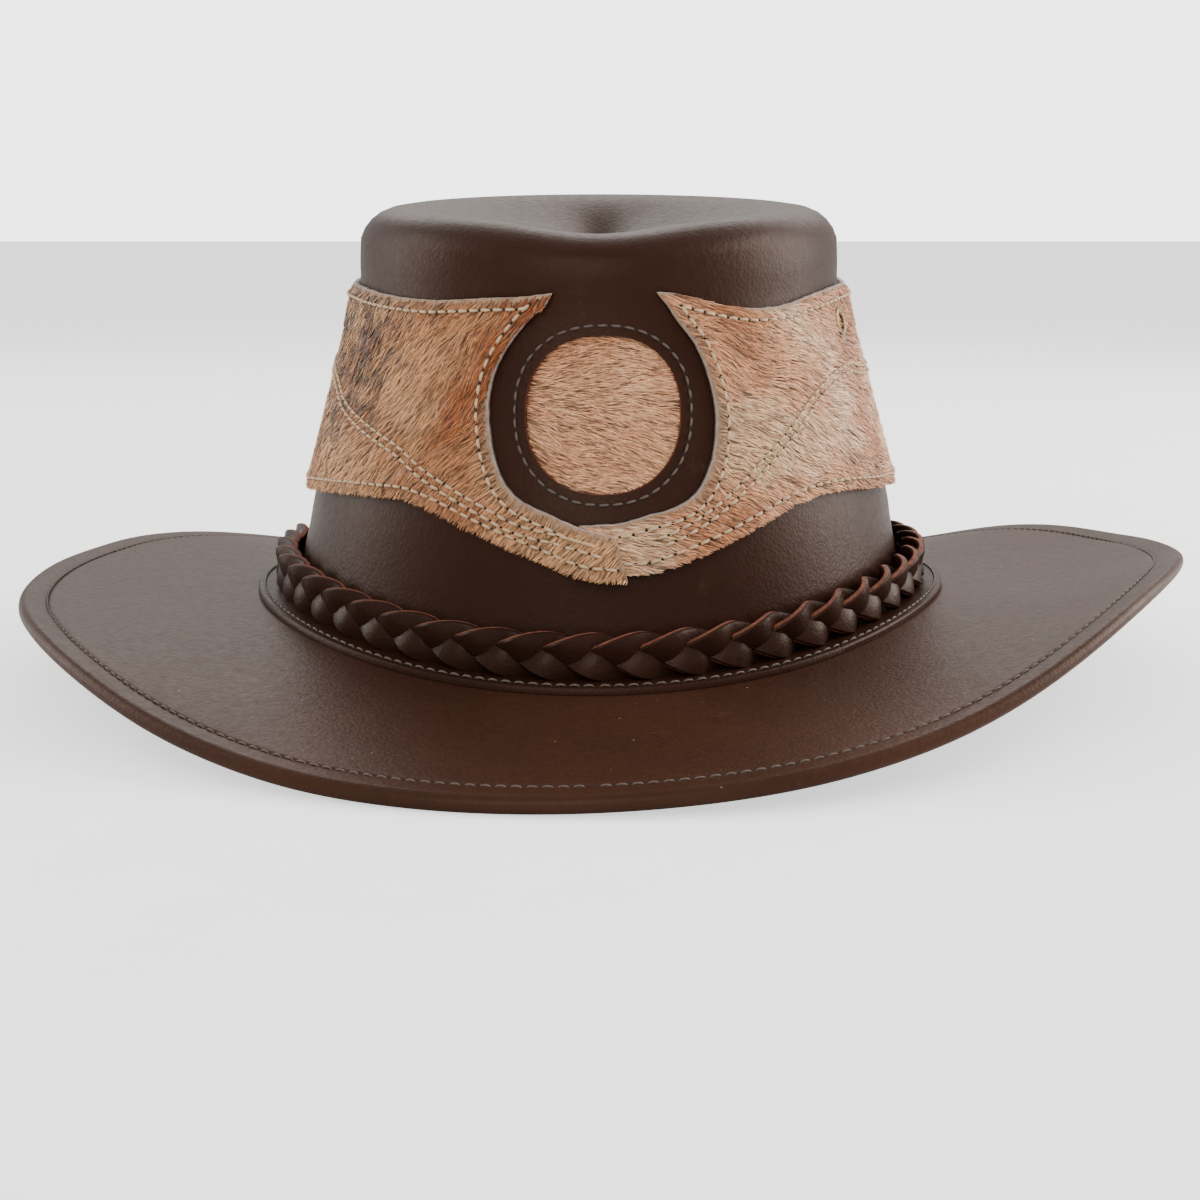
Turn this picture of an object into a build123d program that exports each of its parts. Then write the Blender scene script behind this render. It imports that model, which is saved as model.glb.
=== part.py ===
from build123d import *
import math
import os

os.makedirs("parts", exist_ok=True)

# a leather cowboy hat with hair-on hide panels and a plaited band, in mm
# +Z up, the front of the hat towards -Y

# brim
brim_half_width = 170.0
brim_half_length = 190.0
brim_leather = 2.2
hem_width = 8.5
bead_radius = 2.5
seam_height = -8.0

# crown, as half widths at heights above the sides of the brim seam
crown_half_widths = [(-40, 93.0), (-20, 90.7), (0, 88.3), (23, 85.7), (52, 78.3), (75, 72.2),
                     (86, 70.3), (96, 70.3), (101, 69.4), (104.5, 66.3), (106.6, 61.5), (107.3, 56.0)]
crown_length_ratio = 1.195
crown_leather = 2.2
flange_width = 14.5

# head band, hide, thread
sweatband_height = 34.0
sweatband_leather = 1.3
hide_thickness = 1.95
thread_radius = 0.35
medallion_half_width = 20.1
medallion_half_height = 19.8
medallion_centre = (0.8, 58.9)

# vent eyelets, as angles round the crown from the front, and their height
eyelet_height = 76.5
eyelet_angles = {"right_front": 66.5, "right_rear": 84.0, "left_front": -84.0, "left_rear": -101.5}
eyelet_hole_radius = 2.6
eyelet_barrel_radius = 3.1
eyelet_rim_radius = 4.3

# plaited band
band_gap = 1.6
band_depth = 3.0
strand_height = 3.9


def smooth_step(t):
    t = max(0.0, min(1.0, t))
    return t * t * (3 - 2 * t)


# height of the brim's top face, over the whole plan of the hat
def brim_top(x, y):
    u = x / brim_half_width
    v = y / brim_half_length
    rho = max(0.05, math.hypot(u, v))
    ue, ve = u / rho, v / rho
    # the rolled edge: low at front and rear, swept up at the sides, most at the right front
    side = 30.0 if ue > 0 else 21.0
    right = (ue + math.sqrt(ue * ue + 0.03)) / 2 - math.sqrt(0.03) / 2
    rear = smooth_step((ve + 0.3) / 0.6)
    sweep_up = -ve * ((1 - rear) * 16 * right + rear * 18 * max(0.0, right) ** 2)
    edge = -22.5 + side * smooth_step(1.1 * ue * ue) + sweep_up
    # a flat seat for the crown's foot, then a smooth run out to the edge
    q = (x / 88.8) ** 2 + (y / 106.1) ** 2
    p = max(0.35, math.sqrt(q))
    t = (rho * (p - 1) / max(0.2, p - rho) - 0.24) / 0.76
    t = (t + math.sqrt(t * t + 0.0004)) / 2
    return seam_height + (edge - seam_height) * t - 2.0 * math.sin(math.pi * min(1.0, t)) * ue * ue


# a smooth face through a grid of heights
def field(height, half_x, half_y, nx, ny):
    grid = []
    for j in range(ny):
        y = -half_y + 2 * half_y * j / (ny - 1)
        grid.append([(x, y, height(x, y))
                     for x in (-half_x + 2 * half_x * i / (nx - 1) for i in range(nx))])
    return Face.make_surface_from_array_of_points(grid, tol=0.02)


def raised(face, amount):
    return Solid.extrude(face, Vector(0, 0, amount))


def oval(half_width, half_length, height=300.0, z=-80.0, y=0.0):
    return Pos(0, y, z) * extrude(Ellipse(half_width, half_length), height)


# a body turned round the upright axis, then stretched to the crown's oval
def turned(points, curved):
    edges = []
    for start, end, smooth in curved:
        run = [(r, 0, z) for r, z in points[start:end + 1]]
        edges.append(Spline(*run) if smooth else Polyline(*run))
    body = revolve(make_face(edges), Axis.Z, 360)
    return scale(body, by=(1, crown_length_ratio, 1))


# a skin that follows the crown's side, between two stand-offs and two heights
def skin(inner_off, outer_off, low, high):
    levels = [low + (high - low) * i / 6 for i in range(7)]
    outer = [(half_width(z) + outer_off, z) for z in levels]
    inner = [(half_width(z) + inner_off, z) for z in reversed(levels)]
    points = outer + inner + outer[:1]
    return turned(points, [(0, 6, True), (6, 7, False), (7, 13, True), (13, 14, False)])


def half_width(z):
    for (z0, w0), (z1, w1) in zip(crown_half_widths, crown_half_widths[1:]):
        if z <= z1:
            return w0 + (w1 - w0) * (z - z0) / (z1 - z0)
    return crown_half_widths[-1][1]


# a point on the crown's side, from its angle round the crown, its height and how far it stands off
def on_crown(angle, z, off):
    a = half_width(z)
    c = math.radians(angle)
    return ((a + off) * math.sin(c), -(a + off) * crown_length_ratio * math.cos(c), z)


def tube(points, radius):
    path = Spline(*points)
    start = Plane(origin=path @ 0, z_dir=path % 0)
    return sweep(start * Circle(radius), path=path)


# a closed ring that follows the brim's top face, between two ovals and two heights above that face
def brim_ring(inner, outer, low, high):
    slab = raised(Pos(0, 0, low) * brim_face, high - low)
    return slab & (oval(*outer) - oval(*inner))


# a flat oval ring on the crown's seat, between two heights above it
def seat_ring(inner, outer, low, high):
    ring = extrude(Ellipse(*outer), high - low) - extrude(Ellipse(*inner), high - low)
    return Pos(0, 0, seam_height + low) * ring


def edge_oval(inset):
    return (brim_half_width - inset, brim_half_length - inset)


def seam_oval(off):
    return (88.8 + off, 106.1 + off)


# the hide panels' outline seen from the front: x and height, down the curved edge and along the bottom
def panel_front(side, curve, bottom, tip_top):
    top = [(side * 72, 86)] + tip_top
    edges = [Line((side * 120, 86), top[0]), Spline(*top), Spline(*curve), Line(curve[-1], bottom[0]),
             Spline(*bottom), Line(bottom[-1], (side * 120, 26.3)), Line((side * 120, 26.3), (side * 120, 86))]
    return extrude(Plane.XZ * make_face(edges), 140)


def panel_rear(side):
    corners = [(side * 120, 86), (side * 120, 26.3), (side * 86, 26.3), (side * 40, 29), (side * 0.3, 30),
               (side * 0.3, 86)]
    return extrude(Plane.XZ * make_face(Polyline(*corners, close=True)), -140)


def drilled(shape, radius):
    for name in eyelet_angles:
        shape = shape - eyelet_axis(name) * Cylinder(radius, 16)
    return shape


# a frame on the crown's side with its z along the eyelet, pointing outwards
def eyelet_axis(name):
    angle = eyelet_angles[name]
    foot = Vector(*on_crown(angle, eyelet_height, 0))
    across = Vector(*on_crown(angle + 2, eyelet_height, 0)) - Vector(*on_crown(angle - 2, eyelet_height, 0))
    up = Vector(*on_crown(angle, eyelet_height + 2, 0)) - Vector(*on_crown(angle, eyelet_height - 2, 0))
    return Location(Plane(origin=foot, z_dir=up.cross(across) * -1))


def washer(low, high, inner, outer):
    return Pos(0, 0, low) * (extrude(Circle(outer), high - low) - extrude(Circle(inner), high - low))


def rows(radius, *lines):
    return Compound(children=[tube(line, radius) for line in lines])


def arc(a0, a1, count, z, off):
    return [on_crown(a0 + (a1 - a0) * i / (count - 1), z, off) for i in range(count)]


brim_face = field(brim_top, 190, 204, 15, 15)
parts = {}

# brim: a sheet with its edge turned under twice as thick, and a channel in the edge for the wire
thick = brim_ring(seam_oval(-1.6), edge_oval(0), -2 * brim_leather, 0)
undercut = raised(Pos(0, 0, -brim_leather) * brim_face, -12) & oval(*edge_oval(hem_width))
channel = brim_ring(edge_oval(3.6), edge_oval(1.4), -3.3, -1.1)
parts["brim"] = thick - undercut - channel
parts["brim_wire"] = brim_ring(edge_oval(3.3), edge_oval(1.7), -3.0, -1.4)
hem_line = edge_oval(hem_width - 1.2)
parts["brim_hem_thread"] = brim_ring(hem_line, edge_oval(hem_width - 1.9), 0.25, 0.85)

# crown: a wall with a dished top, its foot turned out over the brim
foot = seam_height + 0.6
wall = [(w, z) for z, w in crown_half_widths if z > foot + 3]
outer = [(half_width(foot + 1.8) + 0.3, foot + 1.8)] + wall
top = [(56, 107.3), (48, 103.2), (30, 97.8), (12, 95.6), (0, 95.4)]
under = [(0, 93.2), (12, 93.4), (30, 95.5), (47, 100.7), (54.5, 104.9)]
inner = [(w - crown_leather, z - (1.6 if z > 100 else 0)) for w, z in reversed(wall[:-1])]
inner = inner + [(half_width(foot) - crown_leather, foot)]
flange = [(half_width(foot) - crown_leather, foot), (88.8 + flange_width, foot), (88.8 + flange_width, foot + 1.8)]
points = outer + top[1:] + under + inner + flange[1:] + outer[:1]
n1 = len(outer) - 1
n2 = n1 + len(top) - 1
n3 = n2 + 1
n4 = n3 + len(under) + len(inner) - 1
crown = turned(points, [(0, n1, True), (n1, n2, True), (n2, n3, False), (n3, n4, True), (n4, len(points) - 1, False)])
opening = Pos(medallion_centre[0], -70, medallion_centre[1]) * extrude(
    Plane.XZ * Ellipse(medallion_half_width, medallion_half_height), 50)
crown = crown - opening
parts["crown"] = drilled(crown, eyelet_barrel_radius + 0.15)
parts["crown_seam_thread"] = seat_ring(seam_oval(flange_width - 2.6), seam_oval(flange_width - 1.9), 2.8, 3.4)

# sweatband, standing inside the crown from the brim's underside up
parts["sweatband"] = skin(
    -crown_leather - 0.4 - sweatband_leather, -crown_leather - 0.4, seam_height + 0.5, sweatband_height)
inside_off = -crown_leather - 0.4 - sweatband_leather - 1.0
parts["sweatband_thread"] = rows(
    thread_radius, *[arc(a, a + 89, 14, 3.0, inside_off) for a in (-180, -90, 0, 90)])

# hide patch behind the oval opening, and the stitches that hold it
patch = Pos(medallion_centre[0], -50, medallion_centre[1]) * extrude(Plane.XZ * Ellipse(26, 24.5), 70)
parts["medallion_patch"] = skin(-crown_leather - 0.4 - hide_thickness, -crown_leather - 0.4, 30, 88) & patch
ring = []
for i in range(25):
    c = 2 * math.pi * i / 24
    z = medallion_centre[1] + 22.4 * math.cos(c)
    x = medallion_centre[0] + 22.9 * math.sin(c)
    ring.append(on_crown(math.degrees(math.asin(x / half_width(z))), z, thread_radius + 0.2))
parts["medallion_thread"] = rows(thread_radius, ring[:13], ring[12:])

# hide panels, one each side, their ends meeting at the front and at the back
outer_skin = skin(0.4, 0.4 + hide_thickness, 12, 95)
left_curve = [(-12.5, 89.6), (-18.6, 82.7), (-24.5, 75.5), (-28.6, 66), (-29.2, 56), (-27, 45), (-21, 37.3),
              (-13, 34), (-6, 31.6), (4.1, 28.7)]
left_bottom = [(7, 17.8), (-3, 18.6), (-18, 23.2), (-34, 29.3), (-51, 34.6), (-69, 32.5), (-86, 26.3)]
right_curve = [(14.8, 90.1), (20.7, 82.1), (26, 74.5), (29.9, 63.2), (30.4, 51.8), (26.6, 40.7), (17.9, 35),
               (11.4, 32.8), (4.6, 30.8)]
right_bottom = [(7.4, 18.2), (20.5, 21.6), (36.4, 27.4), (50.4, 33.1), (62, 34.6), (75, 31.5), (86, 26.3)]
left = panel_front(-1, left_curve, left_bottom, [(-50, 86.3), (-29, 87.8), left_curve[0]]) + panel_rear(-1)
right = panel_front(1, right_curve, right_bottom, [(45, 84.4), (26, 87.6), right_curve[0]]) + panel_rear(1)
parts["hide_panel_left"] = drilled(outer_skin & left, eyelet_barrel_radius + 0.15)
parts["hide_panel_right"] = drilled(outer_skin & right, eyelet_barrel_radius + 0.15)

# stitched lines on the panels: top border, curved border, bottom border and a double line between
panel_off = 0.4 + hide_thickness + thread_radius + 0.9


def angled(points, shift_x=0.0, shift_z=0.0):
    line = []
    for x, z in points:
        z = z + shift_z
        line.append(on_crown(math.degrees(math.asin((x + shift_x) / half_width(z))), z, panel_off))
    return line


# a line given by its angles and heights, followed closely round the crown
def by_angle(points, shift_z=0.0):
    line = []
    for (a0, z0), (a1, z1) in zip(points, points[1:]):
        count = max(1, round(abs(a1 - a0) / 8))
        for i in range(count):
            line.append(on_crown(a0 + (a1 - a0) * i / count, z0 + (z1 - z0) * i / count + shift_z, panel_off))
    line.append(on_crown(points[-1][0], points[-1][1] + shift_z, panel_off))
    return line


left_double = [(-178, 62), (-120, 62), (-90, 62), (-73, 60), (-53, 51), (-34, 42.1), (-20, 33.8), (-5, 27.4)]
right_double = [(178, 60), (120, 60), (90, 60), (74, 62), (62, 64), (47, 58.9), (33, 46.6), (19, 32.9), (8, 26)]
parts["hide_panel_left_border_thread"] = rows(
    thread_radius, arc(-22, -178, 20, 83.2, panel_off), angled(left_curve[1:-1], -3.0, 0.5),
    angled(left_bottom[1:-1], 0, 3.0), arc(-84, -178, 12, 32.5, panel_off))
parts["hide_panel_right_border_thread"] = rows(
    thread_radius, arc(24, 178, 20, 81.6, panel_off), angled(right_curve[1:-1], 3.0, 0.5),
    angled(right_bottom[1:-1], 0, 3.0), arc(84, 178, 12, 32.5, panel_off))
parts["hide_panel_left_double_thread"] = rows(
    thread_radius, by_angle(left_double, 1.0), by_angle(left_double, -1.0))
parts["hide_panel_right_double_thread"] = rows(
    thread_radius, by_angle(right_double, 1.0), by_angle(right_double, -1.0))

# vent eyelets through panel and crown, each with a washer inside
for name in eyelet_angles:
    place = eyelet_axis(name)
    face = 0.4 + hide_thickness
    rim = washer(face + 0.25, face + 1.0, eyelet_hole_radius, eyelet_rim_radius)
    barrel = washer(-crown_leather - 1.3, face + 1.0, eyelet_hole_radius, eyelet_barrel_radius)
    parts["eyelet_" + name] = place * (rim + barrel)
    parts["eyelet_washer_" + name] = place * washer(
        -crown_leather - 1.1, -crown_leather - 0.4, eyelet_barrel_radius + 0.02, eyelet_rim_radius)

# plaited band: three strands round the crown's foot, and the keeper that joins their ends at the back
for index, name in enumerate(("lower", "middle", "upper")):
    low = 3.4 + index * (strand_height + 0.3)
    shift = 3.6 if name == "middle" else 0.0
    parts["band_strand_" + name] = seat_ring(
        seam_oval(band_gap + shift), seam_oval(band_gap + band_depth + shift), low, low + strand_height)
keeper_zone = Pos(0, 120, 0) * Box(16, 60, 80)
parts["band_keeper"] = seat_ring(seam_oval(band_gap + 7.2), seam_oval(band_gap + 9.2), 3.1, 16.1) & keeper_zone

# stand the hat on the lowest points of its brim, and write every piece
floor = -parts["brim"].bounding_box().min.Z
for name, shape in parts.items():
    placed = Pos(0, 0, floor) * shape
    placed.label = name
    export_step(placed, "parts/" + name + ".step")
    print(name, placed.is_valid, len(placed.solids()), round(placed.volume), flush=True)
print("floor", floor)
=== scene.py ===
import bpy
import math
import random
from mathutils import Matrix, Vector, noise, geometry


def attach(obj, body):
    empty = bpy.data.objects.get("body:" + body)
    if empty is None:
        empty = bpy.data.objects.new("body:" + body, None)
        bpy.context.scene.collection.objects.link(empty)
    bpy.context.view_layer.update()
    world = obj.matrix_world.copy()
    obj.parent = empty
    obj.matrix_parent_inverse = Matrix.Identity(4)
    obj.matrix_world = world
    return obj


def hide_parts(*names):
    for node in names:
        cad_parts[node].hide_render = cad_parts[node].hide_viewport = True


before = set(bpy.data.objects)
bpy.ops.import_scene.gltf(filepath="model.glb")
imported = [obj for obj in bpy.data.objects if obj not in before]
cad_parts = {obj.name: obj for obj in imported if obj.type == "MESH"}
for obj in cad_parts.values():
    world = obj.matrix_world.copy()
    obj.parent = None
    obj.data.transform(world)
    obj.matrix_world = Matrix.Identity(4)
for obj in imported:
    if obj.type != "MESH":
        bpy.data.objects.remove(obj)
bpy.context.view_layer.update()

# A leather cowboy hat with hair-on hide panels and a plaited band, dressed over its plain body.
mm = 0.001
hat = {
    "halfWidth": 170.0,
    "halfLength": 190.0,
    "seamHalfWidth": 88.8,
    "seamHalfLength": 106.1,
    "seamShift": 2.6,  # how far back of the brim's middle the crown sits
    "seamZ": 27.4,
    "tilt": 3.0,  # the crown leans back
    "pivotZ": 50.0,
    "lengthRatio": 1.195,
}
brimShape = {
    "edge": -22.5,
    "liftLeft": 21.0,
    "liftRight": 30.0,
    "sweepFront": 16.0,
    "sweepRear": 18.0,
    "seamSide": -3.5,
    "saddle": 10.5,
    "sag": 2.5,
}
# half widths of the crown at heights above the seam
crownSide = [(-40, 93.0), (-20, 90.7), (0, 88.3), (23, 85.7), (52, 78.3), (75, 72.2), (86, 70.3), (96, 70.3)]


def smoothStep(t):
    t = max(0.0, min(1.0, t))
    return t * t * (3 - 2 * t)


def mix(a, b, t):
    return a + (b - a) * t


# height of the brim's top face over the plan of the hat
def brimTop(x, y):
    u, v = x / hat["halfWidth"], y / hat["halfLength"]
    rho = max(0.05, math.hypot(u, v))
    ue, ve = u / rho, v / rho
    side = brimShape["liftRight"] if ue > 0 else brimShape["liftLeft"]
    right = (ue + math.sqrt(ue * ue + 0.03)) / 2 - math.sqrt(0.03) / 2
    rear = smoothStep((ve + 0.3) / 0.6)
    front = (1 - rear) * brimShape["sweepFront"] * right
    sweepUp = -ve * (front + rear * brimShape["sweepRear"] * max(0.0, right) ** 2)
    edge = brimShape["edge"] + side * smoothStep(1.1 * ue * ue) + sweepUp
    seamWidth, seamLength = hat["seamHalfWidth"] - 0.2, hat["seamHalfLength"] - 0.2
    yc = y - hat["seamShift"]
    q = (x / seamWidth) ** 2 + (yc / seamLength) ** 2
    p = max(0.35, math.sqrt(q))
    seam = brimShape["seamSide"] - brimShape["saddle"] * (yc / seamLength) ** 2 / (q ** 4 + 0.0625) ** 0.25
    t = rho * (p - 1) / max(0.2, p - rho)
    t = (t + math.sqrt(t * t + 0.0009)) / 2
    sag = brimShape["sag"] * math.sin(math.pi * min(1.0, t)) * ue * ue
    return seam + (edge - seam) * t ** 1.1 - sag


# a smooth value through a list of (height, value) points
def smoothCurve(points, z):
    for i in range(len(points) - 1):
        if z <= points[i + 1][0] or i == len(points) - 2:
            z0, z1 = points[i][0], points[i + 1][0]
            a, b = points[max(0, i - 1)], points[min(len(points) - 1, i + 2)]
            m0 = (points[i + 1][1] - a[1]) / (z1 - a[0])
            m1 = (b[1] - points[i][1]) / (b[0] - z0)
            h = z1 - z0
            t = max(0.0, min(1.0, (z - z0) / h))
            return ((2 * t ** 3 - 3 * t ** 2 + 1) * points[i][1] + (t ** 3 - 2 * t ** 2 + t) * h * m0
                    + (-2 * t ** 3 + 3 * t ** 2) * points[i + 1][1] + (t ** 3 - t ** 2) * h * m1)


# slow waves that keep the leather from being a perfect oval
def handMade(angle, z):
    n = noise.noise(Vector((math.sin(angle) * 1.3, math.cos(angle) * 1.3, z * 0.018 + 4.0)))
    return 0.9 * n * smoothStep(z / 30)


# lean the crown back and stand it on the seam
def lean(x, y, z):
    t = math.radians(hat["tilt"])
    h = z - hat["pivotZ"]
    return Vector((x, y * math.cos(t) - h * math.sin(t),
                   y * math.sin(t) + h * math.cos(t) + hat["pivotZ"] + hat["seamZ"]))


# a point on the crown's side, by angle round it from the front, height and stand-off
def onCrown(angle, z, off):
    a = smoothCurve(crownSide, z) + handMade(angle, z)
    return lean((a + off) * math.sin(angle), -(a * hat["lengthRatio"] + off) * math.cos(angle), z)


# a point on the plan of the crown's seam, moved outwards by off
def ovalPoint(angle, off):
    return ((hat["seamHalfWidth"] + off) * math.sin(angle),
            hat["seamShift"] - (hat["seamHalfLength"] + off) * math.cos(angle))


def makeMesh(name, verts, faces, smooth=True):
    mesh = bpy.data.meshes.new(name)
    mesh.from_pydata([v * mm for v in verts], [], faces)
    mesh.update()
    obj = bpy.data.objects.new(name, mesh)
    bpy.context.scene.collection.objects.link(obj)
    for poly in mesh.polygons:
        poly.use_smooth = smooth
    return obj


# quads between closed rings of points, each ring the same length
def ringFaces(rings, count, closed=False):
    faces = []
    total = rings if closed else rings - 1
    for r in range(total):
        a, b = r * count, ((r + 1) % rings) * count
        for i in range(count):
            j = (i + 1) % count
            faces.append((a + i, a + j, b + j, b + i))
    return faces


def applyModifier(obj, kind, **values):
    bpy.ops.object.select_all(action="DESELECT")
    bpy.context.view_layer.objects.active = obj
    obj.select_set(True)
    mod = obj.modifiers.new(kind.title(), kind)
    for key, value in values.items():
        setattr(mod, key, value)
    bpy.ops.object.modifier_apply(modifier=mod.name)


def outward(obj):
    bpy.ops.object.select_all(action="DESELECT")
    bpy.context.view_layer.objects.active = obj
    obj.select_set(True)
    bpy.ops.object.mode_set(mode="EDIT")
    bpy.ops.mesh.select_all(action="SELECT")
    bpy.ops.mesh.normals_make_consistent(inside=False)
    bpy.ops.object.mode_set(mode="OBJECT")


# materials
def newGroup(name, inputs, outputs):
    group = bpy.data.node_groups.new(name, "ShaderNodeTree")
    for label, kind, value in inputs:
        socket = group.interface.new_socket(label, in_out="INPUT", socket_type=kind)
        if value is not None:
            socket.default_value = value
    for label, kind in outputs:
        group.interface.new_socket(label, in_out="OUTPUT", socket_type=kind)
    return group, group.nodes.new("NodeGroupInput"), group.nodes.new("NodeGroupOutput")


def addNode(tree, kind, **values):
    node = tree.nodes.new(kind)
    for key, value in values.items():
        if key in node.inputs:
            node.inputs[key].default_value = value
        else:
            setattr(node, key, value)
    return node


def addRamp(tree, source, stops):
    ramp = tree.nodes.new("ShaderNodeValToRGB")
    while len(ramp.color_ramp.elements) < len(stops):
        ramp.color_ramp.elements.new(0.5)
    for element, (place, color) in zip(ramp.color_ramp.elements, stops):
        element.position = place
        element.color = (*color, 1)
    tree.links.new(source, ramp.inputs[0])
    return ramp.outputs[0]


def addMath(tree, operation, a, b):
    node = tree.nodes.new("ShaderNodeMath")
    node.operation = operation
    for socket, value in zip(node.inputs, (a, b)):
        if isinstance(value, (int, float)):
            socket.default_value = value
        else:
            tree.links.new(value, socket)
    return node.outputs[0]


def addMix(tree, factor, a, b, blend="MIX"):
    node = tree.nodes.new("ShaderNodeMix")
    node.data_type = "RGBA"
    node.blend_type = blend
    for socket, value in ((node.inputs[0], factor), (node.inputs[6], a), (node.inputs[7], b)):
        if isinstance(value, (int, float)):
            socket.default_value = value
        elif isinstance(value, tuple):
            socket.default_value = (*value, 1)
        else:
            tree.links.new(value, socket)
    return node.outputs[2]


# oiled leather: fine pebble grain, cloudy pull-up tone and light scuffs, as colour, roughness and normal
def leatherGroup():
    group, start, end = newGroup("OiledLeather", [
        ("Dark", "NodeSocketColor", (0.02, 0.01, 0.007, 1)),
        ("Light", "NodeSocketColor", (0.06, 0.03, 0.02, 1)),
        ("GrainSize", "NodeSocketFloat", 900.0),
        ("GrainDepth", "NodeSocketFloat", 0.25),
        ("Roughness", "NodeSocketFloat", 0.45)],
        [("Color", "NodeSocketColor"), ("Roughness", "NodeSocketFloat"), ("Normal", "NodeSocketVector")])
    link = group.links.new
    coords = addNode(group, "ShaderNodeTexCoord").outputs["Object"]
    cloud = addNode(group, "ShaderNodeTexNoise", Scale=16.0, Detail=5.0, Roughness=0.6)
    link(coords, cloud.inputs["Vector"])
    fine = addNode(group, "ShaderNodeTexNoise", Scale=420.0, Detail=4.0, Roughness=0.65)
    link(coords, fine.inputs["Vector"])
    cells = addNode(group, "ShaderNodeTexVoronoi")
    link(coords, cells.inputs["Vector"])
    link(start.outputs["GrainSize"], cells.inputs["Scale"])
    scuffs = addNode(group, "ShaderNodeTexNoise", Scale=70.0, Detail=8.0, Roughness=0.75)
    link(coords, scuffs.inputs["Vector"])
    tone = addMath(group, "ADD", cloud.outputs[0], addMath(group, "MULTIPLY", fine.outputs[0], 0.25))
    base = addMix(group, addMath(group, "SUBTRACT", tone, 0.12),
                  start.outputs["Dark"], start.outputs["Light"])
    mask = addRamp(group, scuffs.outputs[0], [(0.60, (0, 0, 0)), (0.78, (0.35, 0.35, 0.35))])
    color = addMix(group, mask, base, (0.11, 0.060, 0.038))
    link(color, end.inputs["Color"])
    rough = addMath(group, "ADD", start.outputs["Roughness"],
                    addMath(group, "MULTIPLY", addMath(group, "SUBTRACT", fine.outputs[0], 0.5), 0.25))
    link(rough, end.inputs["Roughness"])
    height = addMath(group, "ADD", addMath(group, "MULTIPLY", cells.outputs["Distance"], 0.6),
                     addMath(group, "MULTIPLY", fine.outputs[0], 0.8))
    bump = addNode(group, "ShaderNodeBump", Distance=0.0004)
    link(start.outputs["GrainDepth"], bump.inputs["Strength"])
    link(height, bump.inputs["Height"])
    link(bump.outputs[0], end.inputs["Normal"])
    return group


# specks of lint and dust on faces that look up
def dustGroup():
    group, start, end = newGroup(
        "LintAndDust", [("Amount", "NodeSocketFloat", 0.5)], [("Mask", "NodeSocketFloat")])
    link = group.links.new
    coords = addNode(group, "ShaderNodeTexCoord").outputs["Object"]
    specks = addNode(group, "ShaderNodeTexVoronoi", Scale=170.0)
    link(coords, specks.inputs["Vector"])
    spot = addRamp(group, specks.outputs["Distance"], [(0.02, (1, 1, 1)), (0.055, (0, 0, 0))])
    where = addNode(group, "ShaderNodeTexNoise", Scale=22.0, Detail=3.0)
    link(coords, where.inputs["Vector"])
    place = addRamp(group, where.outputs[0], [(0.50, (0, 0, 0)), (0.66, (1, 1, 1))])
    facing = addNode(group, "ShaderNodeNewGeometry")
    split = addNode(group, "ShaderNodeSeparateXYZ")
    link(facing.outputs["Normal"], split.inputs[0])
    up = addMath(group, "MAXIMUM", split.outputs["Z"], 0.0)
    value = addMath(group, "MULTIPLY", addMath(group, "MULTIPLY", spot, place), up)
    link(addMath(group, "MULTIPLY", value, start.outputs["Amount"]), end.inputs["Mask"])
    return group


leatherTools = leatherGroup()
dustTools = dustGroup()


def newMaterial(name):
    mat = bpy.data.materials.new(name)
    mat.use_nodes = True
    tree = mat.node_tree
    return mat, tree, tree.nodes["Principled BSDF"]


def leatherMaterial(name, dark, light, grain=900.0, depth=0.25, rough=0.45, dust=0.0):
    mat, tree, shader = newMaterial(name)
    tools = addNode(tree, "ShaderNodeGroup", node_tree=leatherTools)
    tools.inputs["Dark"].default_value = (*dark, 1)
    tools.inputs["Light"].default_value = (*light, 1)
    tools.inputs["GrainSize"].default_value = grain
    tools.inputs["GrainDepth"].default_value = depth
    tools.inputs["Roughness"].default_value = rough
    color = tools.outputs["Color"]
    if dust:
        lint = addNode(tree, "ShaderNodeGroup", node_tree=dustTools)
        lint.inputs["Amount"].default_value = dust
        color = addMix(tree, lint.outputs["Mask"], color, (0.45, 0.36, 0.29))
    tree.links.new(color, shader.inputs["Base Color"])
    tree.links.new(tools.outputs["Roughness"], shader.inputs["Roughness"])
    tree.links.new(tools.outputs["Normal"], shader.inputs["Normal"])
    shader.inputs["Specular IOR Level"].default_value = 0.13
    shader.inputs["Specular Tint"].default_value = (1.0, 0.80, 0.66, 1)
    return mat


# fibrous cut edges and flesh sides, thread, and other simple surfaces share this
def fibreMaterial(name, dark, light, scale=600.0, rough=0.85, depth=0.5, metal=0.0):
    mat, tree, shader = newMaterial(name)
    coords = addNode(tree, "ShaderNodeTexCoord").outputs["Object"]
    grain = addNode(tree, "ShaderNodeTexNoise", Scale=scale, Detail=6.0, Roughness=0.7)
    tree.links.new(coords, grain.inputs["Vector"])
    color = addRamp(tree, grain.outputs[0], [(0.32, dark), (0.68, light)])
    tree.links.new(color, shader.inputs["Base Color"])
    bump = addNode(tree, "ShaderNodeBump", Strength=depth, Distance=0.0003)
    tree.links.new(grain.outputs[0], bump.inputs["Height"])
    tree.links.new(bump.outputs[0], shader.inputs["Normal"])
    roughness = addMath(tree, "ADD", addMath(tree, "MULTIPLY", grain.outputs[0], 0.2), rough - 0.1)
    tree.links.new(roughness, shader.inputs["Roughness"])
    shader.inputs["Metallic"].default_value = metal
    return mat


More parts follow.
